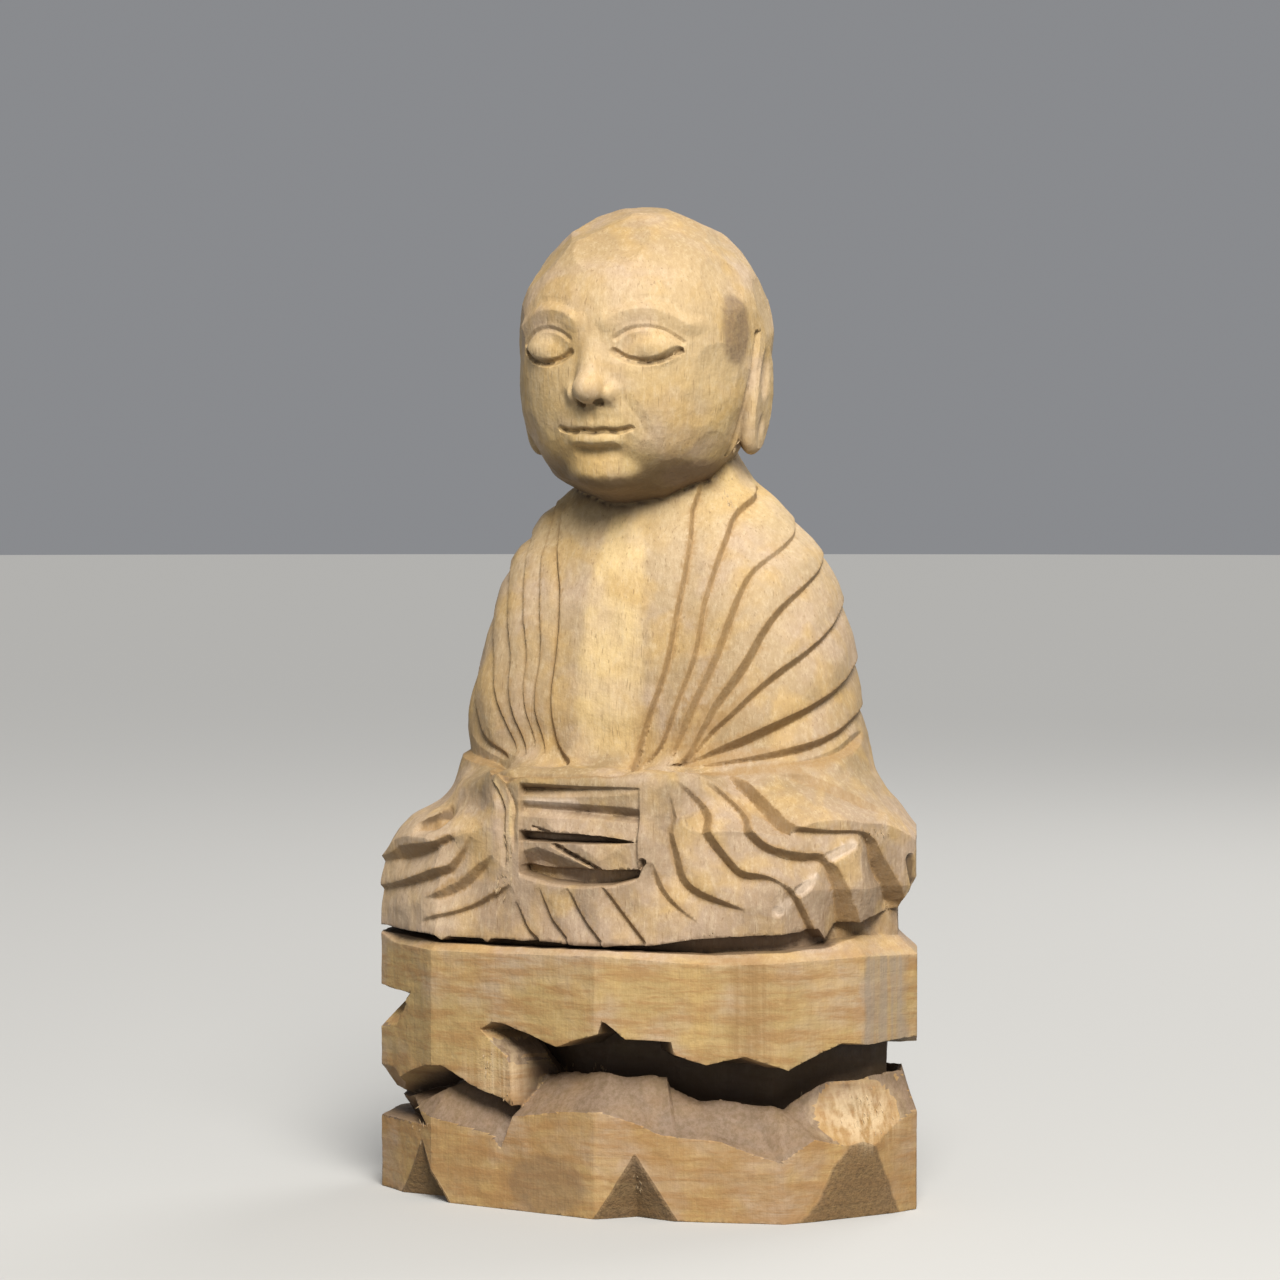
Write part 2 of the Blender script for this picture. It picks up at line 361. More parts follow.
def fold_depth(x, v, z, steep=None):
    out = np.zeros(len(x))
    for g in LAID:
        P, N, B, D, w0, w1 = g["P"], g["N"], g["B"], g["D"], g["w0"], g["w1"]
        R = w1 + 0.5
        lo, hi = P.min(0) - R, P.max(0) + R
        idx = np.nonzero((x > lo[0]) & (x < hi[0]) & (v > lo[1]) & (v < hi[1]) & (z > lo[2]) & (z < hi[2]))[0]
        if not len(idx):
            continue
        Q = np.stack([x[idx], v[idx], z[idx]], -1)
        best = np.full(len(idx), 1e9); lat = np.zeros(len(idx)); s = np.zeros(len(idx))
        m = len(P) - 1
        for j in range(m):
            e = P[j + 1] - P[j]
            L2 = e @ e
            r = Q - P[j]
            u = np.clip(r @ e / L2, 0, 1)
            r -= u[:, None] * e
            d2 = np.einsum("ij,ij->i", r, r)
            k = d2 < best
            if not k.any():
                continue
            rk, uk = r[k], u[k]
            n = N[j] * (1 - uk)[:, None] + N[j + 1] * uk[:, None]
            b = B[j] * (1 - uk)[:, None] + B[j + 1] * uk[:, None]
            dn = np.einsum("ij,ij->i", rk, n)
            q = np.sqrt(np.maximum(d2[k] - dn * dn, 0)) * np.sign(np.einsum("ij,ij->i", rk, b))
            best[k] = d2[k]; lat[k] = q; s[k] = (j + uk) / m
        al = g["along"]
        amp = D * np.interp(s, al[:, 0], al[:, 1])
        if g["t0"] > 0: amp *= np.clip(s / g["t0"], 0, 1) ** 0.7
        if g["t1"] > 0: amp *= np.clip((1 - s) / g["t1"], 0, 1) ** 0.7
        w0s = w0 * np.interp(s, al[:, 0], al[:, 2]) * (0.45 + 0.55 * np.minimum(amp / D, 1)); w1s = w1
        dep = amp * np.where(lat < 0, np.clip(1 + lat / w0s, 0, 1), np.clip(1 - lat / w1s, 0, 1) ** 1.35)
        dep[best > (w1 + 2) ** 2] = 0
        out[idx] = np.maximum(out[idx], dep)
        if steep is not None:
            on = (lat < 0.12) & (lat > -w0s - 0.08) & (best < 16)
            steep[idx] = np.maximum(steep[idx], np.where(on, np.clip(amp, 0, 1), 0))
    return out

# the hands, seen end on between the sleeve edges: bars parted by cuts that slant and run out to the figure's left.
# One row per station across: x, then height and depth of each corner of the cut section, top to bottom.
HAND_Z = [
    (-13.2, [68.2, 67.2, 66.1, 65.4, 64.2, 62.8, 60.6, 60.15, 59.2, 58.9, 55.1, 54.7, 54.0, 53.5, 52.9]),
    (-8.1, [68.1, 67.25, 66.0, 65.3, 64.0, 62.7, 60.5, 60.1, 59.1, 58.8, 54.7, 54.2, 52.9, 52.5, 52.0]),
    (-2.8, [68.0, 67.4, 66.2, 65.1, 63.8, 62.7, 60.4, 60.0, 59.1, 58.8, 55.0, 54.6, 52.6, 52.2, 51.8]),
    (3.0, [68.0, 67.6, 66.5, 64.9, 63.4, 62.4, 60.0, 59.65, 59.2, 59.0, 54.9, 54.6, 53.0, 52.6, 52.2]),
    (7.1, [68.0, 67.7, 67.2, 64.6, 63.1, 62.2, 59.5, 59.45, 59.35, 59.3, 55.1, 54.8, 54.1, 53.7, 53.3]),
]
HAND_D = [
    (-13.2, [0, 1.9, 0.6, 0.5, 1.3, 0.5, 0.5, 3.2, 3.2, 0.6, 1.0, 4.8, 4.8, 0.4, 0]),
    (-2.8, [0, 1.0, 0.4, 0.5, 1.8, 0.6, 0.4, 3.4, 3.4, 0.6, 0.9, 4.8, 4.8, 0.4, 0]),
    (2.0, [0, 0.7, 0.3, 0.5, 1.9, 0.7, 0.4, 3.0, 3.0, 0.6, 0.8, 4.8, 4.8, 0.4, 0]),
    (7.1, [0, 0.4, 0.3, 0.5, 2.0, 0.9, 0.5, 0.6, 0.6, 0.5, 0.7, 4.6, 4.6, 0.4, 0]),
]
HAND_LEFT, HAND_RIGHT = -13.8, 7.35

def across(rows, x):
    X = np.array([r[0] for r in rows]); Y = np.array([r[1] for r in rows], float)
    return np.stack([np.interp(x, X, Y[:, k]) for k in range(Y.shape[1])], -1)

def line_cut(x, z, a, b, w, D):
    e = np.subtract(b, a)
    u = np.clip(((x - a[0]) * e[0] + (z - a[1]) * e[1]) / (e @ e), 0, 1)
    return D * np.clip(1 - np.hypot(x - a[0] - u * e[0], z - a[1] - u * e[1]) / w, 0, 1)

def hands(x, z):
    Z, D = across(HAND_Z, x), across(HAND_D, x)
    d = np.zeros(len(x))
    for k in range(Z.shape[1] - 1):
        t = (Z[:, k] - z) / (Z[:, k] - Z[:, k + 1])
        d = np.where((t >= 0) & (t <= 1), D[:, k] + (D[:, k + 1] - D[:, k]) * t, d)
    # the lowest bar: a slanting cut, and a facet that falls in under it
    low = (z > 54.0) & (z < 59.2)
    top = np.where(x > -10.6, 58.1 - 0.303 * (x + 10.6), 57.2 + (x + 13.7) * 0.29)
    d = d + np.where(low & (x < 0.6), np.clip((top - z) * 0.75, 0, 1.7), 0)
    d = np.maximum(d, np.where(low, line_cut(x, z, (-7.6, 58.5), (0.9, 54.9), 0.8, 2.2), 0))
    d = np.maximum(d, line_cut(x, z, (-11.4, 61.2), (-8.3, 60.5), 0.5, 1.3))
    side = np.clip((x - HAND_LEFT) / 0.6, 0, 1) * np.clip((HAND_RIGHT - x) / 0.5, 0, 1)
    return np.maximum(d * side, np.maximum(line_cut(x, z, (7.2, 54.6), (7.8, 56.1), 0.5, 1.6), line_cut(x, z, (7.8, 56.1), (7.9, 56.3), 0.7, 1.6)))

# ---------------------------------------------------------------- head
def ellipsoid(x, v, z, c, r):
    px, pv, pz = (x - c[0]) / r[0], (v - c[1]) / r[1], (z - c[2]) / r[2]
    k1 = np.sqrt(px**2 + pv**2 + pz**2)
    k2 = np.sqrt((px / r[0])**2 + (pv / r[1])**2 + (pz / r[2])**2)
    return k1 * (k1 - 1) / np.maximum(k2, 1e-6)

def facet_dirs(n, seed=0):
    i = np.arange(n) + 0.5
    z = 1 - 2 * i / n
    a = i * 2.399963 + seed
    r = np.sqrt(1 - z * z)
    return np.stack([r * np.cos(a), r * np.sin(a), z], -1)

def faceted(x, v, z, c, r, n, cut, keep, seed=0.0):
    f = ellipsoid(x, v, z, c, r)
    rr = np.array(r)
    for i, d in enumerate(facet_dirs(n, seed)):
        if not keep(d):
            continue
        # plane square to the ellipsoid at that direction's point
        p = rr * d
        m = d / rr
        m /= np.linalg.norm(m)
        c0 = m @ p - cut * (0.55 + 0.9 * ((i * 0.618034) % 1))
        f = np.maximum(f, m[0] * (x - c[0]) + m[1] * (v - c[1]) + m[2] * (z - c[2]) - c0)
    return f

SKULL_C, SKULL_R = (0, -2.2, 138.6), (20.7, 22.9, 22.0)
JAW_C, JAW_R = (0, 1.9, 127.0), (17.5, 17.7, 15.0)
HEAD_SHIFT = -1.5

def rod(x, v, z, a, b, ra, rb):
    a, b = np.array(a, float), np.array(b, float)
    e = b - a
    u = np.clip(((x - a[0]) * e[0] + (v - a[1]) * e[1] + (z - a[2]) * e[2]) / (e @ e), 0, 1)
    return np.sqrt((x - a[0] - u * e[0]) ** 2 + (v - a[1] - u * e[1]) ** 2 + (z - a[2] - u * e[2]) ** 2) - ra - (rb - ra) * u

def stroke(x, z, pts, w, D, p=1.0):
    """A V stroke seen from the front; pts in (x, z)."""
    best = np.full(len(x), 1e9)
    P = np.array(pts, float)
    if len(P) > 2:
        P = spline(P, 4)
    for a, b in zip(P[:-1], P[1:]):
        e = b - a
        u = np.clip(((x - a[0]) * e[0] + (z - a[1]) * e[1]) / (e @ e), 0, 1)
        best = np.minimum(best, np.hypot(x - a[0] - u * e[0], z - a[1] - u * e[1]))
    return D * np.clip(1 - best / w, 0, 1) ** p

def head(x, v, z):
    f = faceted(x, v, z, SKULL_C, SKULL_R, 64, 0.74, lambda d: d[2] > -0.35 and not (d[1] > 0.6 and d[2] < 0.5))
    j = faceted(x, v, z, JAW_C, JAW_R, 60, 0.42, lambda d: d[2] < 0.4 and d[1] < 0.75, 1.3)
    f = smin(f, j, 5)
    X = np.abs(x)
    front = np.clip(v - 4, 0, 1)
    # a general face, in thirds from the hairline: hollows of the eyes, closed lids, brows
    f = smax(f, -ellipsoid(X, v, z, (8.0, 23.4, 137.2), (6.0, 4.5, 4.3)), 1.6)
    f = smin(f, ellipsoid(X, v, z, (8.2, 15.0, 137.0), (4.9, 4.2, 3.5)), 0.7)
    f = f + front * stroke(X, z, [(3.7, 136.5), (5.6, 135.4), (8.4, 134.9), (11.0, 135.4), (13.0, 136.7)], 0.75, 0.85)
    f = f + front * stroke(X, z, [(3.9, 138.6), (6.0, 139.9), (8.6, 140.3), (11.2, 139.7), (13.4, 138.0)], 0.6, 0.35)
    f = f - front * stroke(X, z, [(2.6, 141.4), (5.6, 143.0), (10.0, 143.2), (14.6, 140.8)], 1.9, 0.55)
    f = f + front * stroke(X, z, [(2.8, 142.9), (5.8, 144.4), (10.2, 144.5), (15.0, 142.0)], 0.9, 0.22)
    # nose: bridge, tip, wings, nostrils and the flat below
    n = rod(x, v, z, (0, 17.9, 141.6), (0, 20.6, 131.2), 1.5, 2.5)
    n = smin(n, ellipsoid(x, v, z, (0, 20.9, 130.6), (2.6, 3.1, 2.4)), 1.0)
    n = smin(n, ellipsoid(X, v, z, (2.9, 18.9, 129.9), (1.7, 2.7, 1.8)), 0.5)
    n = np.maximum(n, 128.5 - (23 - v) * 0.16 - z)
    f = smin(f, n, 1.1)
    f = smax(f, -ellipsoid(X, v, z, (1.5, 20.9, 128.5), (0.75, 1.3, 0.8)), 0.2)
    f = f + front * stroke(x, z, [(0, 127.9), (0, 125.9)], 0.8, 0.35)
    # lips, the line between them and the hollow under them
    f = smin(f, ellipsoid(X, v, z, (1.8, 17.6, 125.15), (3.6, 2.1, 1.25)), 0.7)
    f = smin(f, ellipsoid(x, v, z, (0, 17.5, 122.75), (4.8, 2.3, 1.5)), 0.8)
    f = f + front * stroke(X, z, [(0, 123.9), (1.8, 124.2), (3.8, 124.0), (6.0, 124.5)], 0.6, 0.8)
    f = f + front * stroke(X, z, [(0, 120.6), (2.8, 121.0)], 1.5, 0.6)
    f = f + front * stroke(X, z, [(4.9, 129.2), (6.9, 126.6), (7.8, 124.2)], 1.6, 0.28)
    # chin
    f = smin(f, ellipsoid(x, v, z, (0, 13.4, 117.8), (5.6, 4.6, 3.4)), 2.2)
    # the flat under the chin
    f = np.maximum(f, 0.30 * (v - 19) - 0.954 * (z - 114.9))
    # ears
    vz, zz = v + 3.2 + (z - 131) * 0.12, z - 130.2
    e = ellipsoid(X, vz, zz, (18.4, 0, 0), (3.3, 4.5, 9.8))
    e = np.maximum(e, X - 20.6 + np.maximum(-zz, 0) * 0.09)
    e = np.maximum(e, -(X - 13))
    f = smin(f, e, 0.25)
    e = ellipsoid(X, vz, zz, (21.6, 0.6, 2.8), (1.7, 2.2, 5.2))
    f = smax(f, -e, 0.3)
    e = ellipsoid(X, vz, zz, (20.9, 0.3, -5.6), (1.2, 1.4, 2.6))
    f = smax(f, -e, 0.3)
    # stop cut in front of the ear
    q = np.abs(vz - 5.0 + np.abs(zz) * 0.12)
    f = f + np.where((X > 12) & (np.abs(zz) < 10), np.clip(1 - q / 1.0, 0, 1) * 0.9, 0)
    return f

# short deep cuts at the outer side of the knee: two ends as angle and height, width, depth
GASHES = [((90.6, 56.0), (92.6, 52.2), 0.9, 1.3)]
CUT = [(surface_point([a[0], b[0]], [a[1], b[1]], robe_plain), w, D) for a, b, w, D in GASHES]

# small flats across the ridges where the laps bend, and pale splinters beside the hands: two ends as x, v, z, half width
CHIPS = [((35.5, 11.7, 57.1), (38.4, 9.0, 59.0), 0.85), ((31.9, 15.2, 52.0), (33.9, 13.2, 54.0), 0.8), ((29.0, 17.2, 48.9), (30.8, 16.0, 49.9), 0.95),
         ((-12.4, 21.2, 65.4), (-4.0, 21.5, 65.2), 0.55)]
FRESH = [((-18.2, 20.3, 68.1), (-17.3, 20.4, 65.5), 0.5), ((-19.5, 20.1, 61.7), (-19.0, 20.1, 57.8), 0.4), ((-15.3, 20.8, 64.5), (-15.1, 20.8, 60.2), 0.6)]

def to_line(P, a, b):
    a, b = np.array(a, float), np.array(b, float)
    e = b - a
    u = np.clip((P - a) @ e / (e @ e), 0, 1)
    return np.linalg.norm(P - a - u[:, None] * e, axis=1)

def gash_depth(x, v, z):
    out = np.zeros(len(x))
    for (A, B), w, D in CUT:
        e = B - A
        u = np.clip(((x - A[0]) * e[0] + (v - A[1]) * e[1] + (z - A[2]) * e[2]) / (e @ e), 0, 1)
        r = np.sqrt((x - A[0] - u * e[0]) ** 2 + (v - A[1] - u * e[1]) ** 2 + (z - A[2] - u * e[2]) ** 2)
        out = np.maximum(out, D * np.clip(1.25 - r / w, 0, 1))
    Q = np.stack([x, v, z], -1)
    for a, b, w in CHIPS[:3]:
        out = np.maximum(out, 0.4 * np.clip((w + 0.35 - to_line(Q, a, b)) / 0.5, 0, 1))
    return out

def knife(x, v, z, cell, seed):
    """0..1, deepest in the middle of each stroke of the blade: cells of a jittered lattice."""
    q = np.stack([x, v, z], -1) / cell
    k0 = np.floor(q - 0.5).astype(np.int64)
    best = np.full(len(x), 9.0)
    for o in range(8):
        k = k0 + [o & 1, o >> 1 & 1, o >> 2 & 1]
        h = (k[:, 0] * 73856093 ^ k[:, 1] * 19349663 ^ k[:, 2] * 83492791 ^ seed * 2654435761) & 0xFFFFFF
        h = (h * 1103515245 + 12345) & 0x7FFFFFFF
        d2 = np.zeros(len(x))
        for i in range(3):
            d2 += (q[:, i] - k[:, i] - 0.5 - 0.56 * (((h >> (5 + 8 * i)) & 255) / 255 - 0.5)) ** 2
        best = np.minimum(best, d2)
    return np.clip(1 - best / 0.36, 0, 1)

def robe(x, v, z):
    f = robe_plain(x, v, z)
    near = (np.abs(f) < 6)
    if near.any():
        i = np.nonzero(near)[0]
        d = fold_depth(x[i], v[i], z[i])
        m = (v[i] > 5) & (z[i] < 72) & (z[i] > 49) & (np.abs(x[i] + 3.2) < 14)
        d = np.maximum(d, np.where(m, hands(x[i], z[i]), 0))
        g = (x[i] > 20) & (z[i] < 62)
        if g.any():
            j = np.nonzero(g)[0]
            d[j] = np.maximum(d[j], gash_depth(x[i][j], v[i][j], z[i][j]))
        f[i] = f[i] + d
    return f

def statue(x, v, z):
    x, v, z = (np.asarray(a, float) for a in (x, v, z))
    f = np.full(x.shape, 1e3)
    lo = z < 60
    if lo.any():
        f[lo] = base(x[lo], v[lo], z[lo])
        d = plan_dist(x[lo], v[lo])
        phi = np.degrees(np.arctan2(x[lo], v[lo]))
        core = np.maximum(np.maximum(d + ring(phi, CORE), z[lo] - 55), 30 - z[lo])
        f[lo] = np.minimum(f[lo], core)
    mid = (z > 36) & (z < 128)
    if mid.any():
        r = robe(x[mid], v[mid], z[mid])
        phi = np.degrees(np.arctan2(x[mid], v[mid]))
        t = np.maximum(-plan_dist(x[mid], v[mid]), 0)
        r = np.maximum(r, (ring(phi, HEM) + 0.06 * t - z[mid]) * 0.98)
        f[mid] = np.minimum(f[mid], r)
    up = z > 104
    if up.any():
        f[up] = np.minimum(f[up], head(x[up] - HEAD_SHIFT, v[up], z[up]))
    near = np.abs(f) < 1.2
    if near.any():
        i = np.nonzero(near)[0]
        X, V_, Z = x[i], v[i], z[i]
        # strokes are long on the robe, broad on the skull, slight on the face and on the sawn block
        face = np.clip((V_ - 9) / 4, 0, 1) * np.clip((Z - 115) / 3, 0, 1) * np.clip((145 - Z) / 3, 0, 1)
        deep = np.where(Z < 42.5, 0.10, np.where(Z < 114, 0.22, 0.10)) * (1 - 0.5 * face)
        rock = np.clip((Z - 9) / 2, 0, 1) * np.clip((26 - Z) / 2, 0, 1) * np.clip(-plan_dist(X, V_) / 1.5, 0, 1)
        if rock.any():
            f[i] += 0.42 * rock * knife(X, V_, Z * 0.5, 8.0, 5)
        f[i] += deep * knife(X, V_, Z * 0.72, 6.2, 3) + 0.05 * knife(X, V_, Z, 2.6, 11)
    return f

# ---------------------------------------------------------------- from the field to a mesh
def extract(f, lo, hi, h, block=4, margin=1.35, reg=0.06):
    lo = np.array(lo, float); hi = np.array(hi, float)
    n = np.ceil((hi - lo) / h / block).astype(int) * block + 1
    ax = [lo[i] + h * np.arange(n[i]) for i in range(3)]
    # blocks near the surface
    nb = (n - 1) // block
    c = [ax[i][0] + h * block * (np.arange(nb[i]) + 0.5) for i in range(3)]
    G = np.stack(np.meshgrid(*c, indexing="ij"), -1).reshape(-1, 3)
    v = f(G[:, 0], G[:, 1], G[:, 2])
    R = h * block * 0.8661 * margin + 1.2
    near = np.abs(v) < R
    F = np.repeat(np.repeat(np.repeat(np.where(v < 0, -R, R).reshape(nb), block, 0), block, 1), block, 2)
    F = np.pad(F, ((0, 1),) * 3, mode="edge").astype(np.float32)
    mask = np.zeros(n, bool)
    nb3 = near.reshape(nb)
    m = np.repeat(np.repeat(np.repeat(nb3, block, 0), block, 1), block, 2)
    mask[:-1, :-1, :-1] |= m
    for a in ((1, 0, 0), (0, 1, 0), (0, 0, 1), (1, 1, 0), (1, 0, 1), (0, 1, 1), (1, 1, 1)):
        mask[a[0]:a[0] + m.shape[0], a[1]:a[1] + m.shape[1], a[2]:a[2] + m.shape[2]] |= m
    ii = np.argwhere(mask)
    val = np.empty(len(ii), np.float32)
    for s in range(0, len(ii), 400000):
        k = ii[s:s + 400000]
        val[s:s + 400000] = f(ax[0][k[:, 0]], ax[1][k[:, 1]], ax[2][k[:, 2]])
    val[np.abs(val) < 1e-5] = 1e-5
    F[ii[:, 0], ii[:, 1], ii[:, 2]] = val
    # a grid face whose corners alternate inside and outside gets its nearer outside corner filled
    for _ in range(40):
        turned = 0
        for a, b in ((0, 1), (1, 2), (0, 2)):
            da, db = np.eye(3, dtype=int)[a], np.eye(3, dtype=int)[b]
            end = n - da - db
            def part(o):
                return F[o[0]:o[0] + end[0], o[1]:o[1] + end[1], o[2]:o[2] + end[2]]
            c00, c10, c01, c11 = part(0 * da), part(da), part(db), part(da + db)
            amb = ((c00 < 0) == (c11 < 0)) & ((c10 < 0) == (c01 < 0)) & ((c00 < 0) != (c10 < 0))
            for k in np.argwhere(amb):
                pair = [k, k + da + db] if F[tuple(k)] > 0 else [k + da, k + db]
                w = min(pair, key=lambda q: F[tuple(q)])
                if F[tuple(pair[0])] > 0 and F[tuple(pair[1])] > 0:
                    F[tuple(w)] = -1e-3
                    turned += 1
        if not turned:
            break
    S = F < 0
    cn = n - 1
    P_all, ids, quads = [], [], []
    for a in range(3):
        s0 = [slice(None)] * 3; s1 = [slice(None)] * 3
        s0[a] = slice(0, -1); s1[a] = slice(1, None)
        X = S[tuple(s0)] != S[tuple(s1)]
        e = np.argwhere(X)
        b, c_ = [(1, 2), (2, 0), (0, 1)][a]
        ok = (e[:, b] > 0) & (e[:, c_] > 0) & (e[:, b] < cn[b]) & (e[:, c_] < cn[c_])
        e = e[ok]
        e1 = e.copy(); e1[:, a] += 1
        f0 = F[tuple(e.T)].astype(float); f1 = F[tuple(e1.T)].astype(float)
        p0 = np.stack([ax[i][e[:, i]] for i in range(3)], -1)
        ta, tb, fa, fb = np.zeros(len(e)), np.ones(len(e)), f0.copy(), f1.copy()
        for it in range(3):
            w = fa / (fa - fb)
            if it == 1: w = np.full(len(e), 0.5)
            t = ta + (tb - ta) * np.clip(w, 0.02, 0.98)
            q = p0.copy(); q[:, a] += t * h
            fm = f(q[:, 0], q[:, 1], q[:, 2])
            left = (fm < 0) == (fa < 0)
            ta = np.where(left, t, ta); fa = np.where(left, fm, fa)
            tb = np.where(left, tb, t); fb = np.where(left, fb, fm)
        t = ta + (tb - ta) * fa / np.where(fa == fb, 1, fa - fb)
        q = p0.copy(); q[:, a] += np.clip(t, 0, 1) * h
        # the four cells round the edge
        cells = []
        for db, dc in ((0, 0), (-1, 0), (-1, -1), (0, -1)):
            k = e.copy(); k[:, b] += db; k[:, c_] += dc
            cells.append((k[:, 0] * cn[1] + k[:, 1]) * cn[2] + k[:, 2])
        cells = np.stack(cells, -1)
        flip = f0 < 0
        quads.append(np.where(flip[:, None], cells, cells[:, ::-1]))
        P_all.append(q); ids.append(cells)
    P = np.concatenate(P_all); C = np.concatenate(ids); Q = np.concatenate(quads)
    e = 0.06
    g = np.stack([f(P[:, 0] + e, P[:, 1], P[:, 2]) - f(P[:, 0] - e, P[:, 1], P[:, 2]),
                  f(P[:, 0], P[:, 1] + e, P[:, 2]) - f(P[:, 0], P[:, 1] - e, P[:, 2]),
                  f(P[:, 0], P[:, 1], P[:, 2] + e) - f(P[:, 0], P[:, 1], P[:, 2] - e)], -1)
    g /= np.maximum(np.linalg.norm(g, axis=1, keepdims=True), 1e-9)
    u, inv = np.unique(C.ravel(), return_inverse=True)
    inv = inv.reshape(C.shape)
    m = len(u)
    cnt = np.bincount(inv.ravel(), minlength=m).astype(float)
    def acc(w):
        return np.bincount(inv.ravel(), weights=np.repeat(w, 4), minlength=m)
    mass = np.stack([acc(P[:, i]) for i in range(3)], -1) / cnt[:, None]
    A = np.zeros((m, 3, 3)); bvec = np.zeros((m, 3))
    d = np.einsum("ij,ij->i", g, P)
    for i in range(3):
        for j in range(i, 3):
            A[:, i, j] = A[:, j, i] = acc(g[:, i] * g[:, j])
        bvec[:, i] = acc(g[:, i] * d)
    bvec -= np.einsum("mij,mj->mi", A, mass)
    for i in range(3):
        A[:, i, i] += reg * cnt
    V = mass + np.linalg.solve(A, bvec[..., None])[..., 0]
    ck = np.stack([u // (cn[1] * cn[2]), (u // cn[2]) % cn[1], u % cn[2]], -1)
    clo = lo + ck * h
    V = np.clip(V, clo + 0.02 * h, clo + 0.98 * h)
    quads = np.searchsorted(u, Q)
    return V, quads

# ---------------------------------------------------------------- the mesh
MM = 0.001
FLIP = np.array([1.0, -1.0, 1.0])
CELL = 0.5
MOST_TRIANGLES = 192000

V, Q = extract(statue, (-50.3, -31.3, -1.5 - 0.37 * CELL), (50, 31, 163), CELL)
rough = bpy.data.meshes.new("carving_rough")
rough.vertices.add(len(V)); rough.vertices.foreach_set("co", (V * FLIP * MM).astype(np.float32).ravel())
rough.loops.add(Q.size); rough.loops.foreach_set("vertex_index", Q[:, ::-1].astype(np.int32).ravel())
rough.polygons.add(len(Q)); rough.polygons.foreach_set("loop_start", np.arange(len(Q), dtype=np.int32) * 4)
rough.polygons.foreach_set("loop_total", np.full(len(Q), 4, np.int32))
rough.update(calc_edges=True); rough.validate()
carving = bpy.data.objects.new("arhat_carving", rough)
bpy.context.scene.collection.objects.link(carving)
if len(Q) * 2 > MOST_TRIANGLES:
    thin = carving.modifiers.new("thin", "DECIMATE")
    thin.decimate_type = "COLLAPSE"; thin.ratio = MOST_TRIANGLES / (len(Q) * 2); thin.use_collapse_triangulate = True
    mesh = bpy.data.meshes.new_from_object(carving.evaluated_get(bpy.context.evaluated_depsgraph_get()))
    carving.modifiers.clear()
    carving.data = mesh
mesh = carving.data
mesh.name = "arhat_carving"
mesh.polygons.foreach_set("use_smooth", np.ones(len(mesh.polygons), bool))

# torn fibres: thin wedges that stand off the cut surface, along the grain
rng = np.random.default_rng(12)
TORN = [(-37.0, 55.5, 10, 1.6, 3.5, 1.9), (56.9, 113.1, 12, 1.6, 1.4, 1.5), (-38.7, 52.0, 14, 2.0, 1.2, 1.5), (17.6, 5.0, 7, 1.6, 1.2, 1.6),
        (81.4, 16.6, 26, 4.5, 3.0, 1.6), (-40.0, 22.6, 9, 3.6, 2.6, 1.4), (-33.0, 17.6, 12, 3.0, 1.2, 1.4), (70.0, 121.5, 8, 2.0, 1.2, 1.4),
        (-10.5, 21.6, 10, 8.0, 0.7, 1.2), (44.0, 44.4, 8, 10.0, 0.4, 0.9), (-62.0, 12.0, 9, 4.0, 2.5, 1.4), (79.0, 60.5, 9, 3.0, 1.0, 1.2)]
bm = bmesh.new(); bm.from_mesh(mesh)
whole = len(mesh.polygons)
whole_points = len(mesh.vertices)
for phi, z0, n, dp, dz, most in TORN:
    A = rng.normal(0, 0.6, n) * dp + phi
    H = rng.normal(0, 0.6, n) * dz + z0
    at = surface_point(A, H, statue)
    out = gradient(statue, at)
    for c, o, k in zip(at, out, rng.random((n, 5))):
        along = np.array([0.14 * (k[0] - 0.5), 0.14 * (k[1] - 0.5), 1.0 if k[2] > 0.35 else -1.0])
        along -= o * (along @ o); along /= max(np.linalg.norm(along), 1e-6)
        side = np.cross(o, along)
        L, w, h = most * (0.35 + 0.65 * k[3]), 0.06 + 0.11 * k[4], 0.05 + 0.07 * k[0]
        rise = 0.04 + 0.22 * k[1]
        foot, mid, tip = c - o * 0.22, c + along * L * 0.55 + o * L * rise * 0.35, c + along * L + o * L * rise
        ring4 = [[q + side * w * a + o * h * b for a, b in ((-1, -1), (1, -1), (1, 1), (-1, 1))] for q, w in ((foot, w), (mid, w * 0.75))]
        vs = [[bm.verts.new(Vector(q * FLIP * MM)) for q in r] for r in ring4]
        end = bm.verts.new(Vector(tip * FLIP * MM))
        made = [bm.faces.new(vs[0])]
        for i in range(4):
            j = (i + 1) % 4
            made += [bm.faces.new((vs[0][i], vs[1][i], vs[1][j], vs[0][j])), bm.faces.new((vs[1][i], end, vs[1][j]))]
        if made[0].normal.length == 0:
            made[0].normal_update()
        middle = sum((q.co for q in vs[0] + vs[1]), Vector()) / 8
        for fc in made:
            fc.normal_update()
            if fc.normal.dot(fc.calc_center_median() - middle) < 0:
                fc.normal_flip()
bm.to_mesh(mesh); bm.free()

# how open each point is, and how steeply it falls into a cut, for the dirt and the darker grooves
co = np.zeros(len(mesh.vertices) * 3, np.float32); mesh.vertices.foreach_get("co", co)
no = np.zeros(len(mesh.vertices) * 3, np.float32); mesh.vertices.foreach_get("normal", no)
P = co.reshape(-1, 3).astype(float) / MM * FLIP
N = no.reshape(-1, 3).astype(float) * FLIP

def many(f, *a, size=200000):
    return np.concatenate([f(*(q[s:s + size] for q in a)) for s in range(0, len(a[0]), size)])

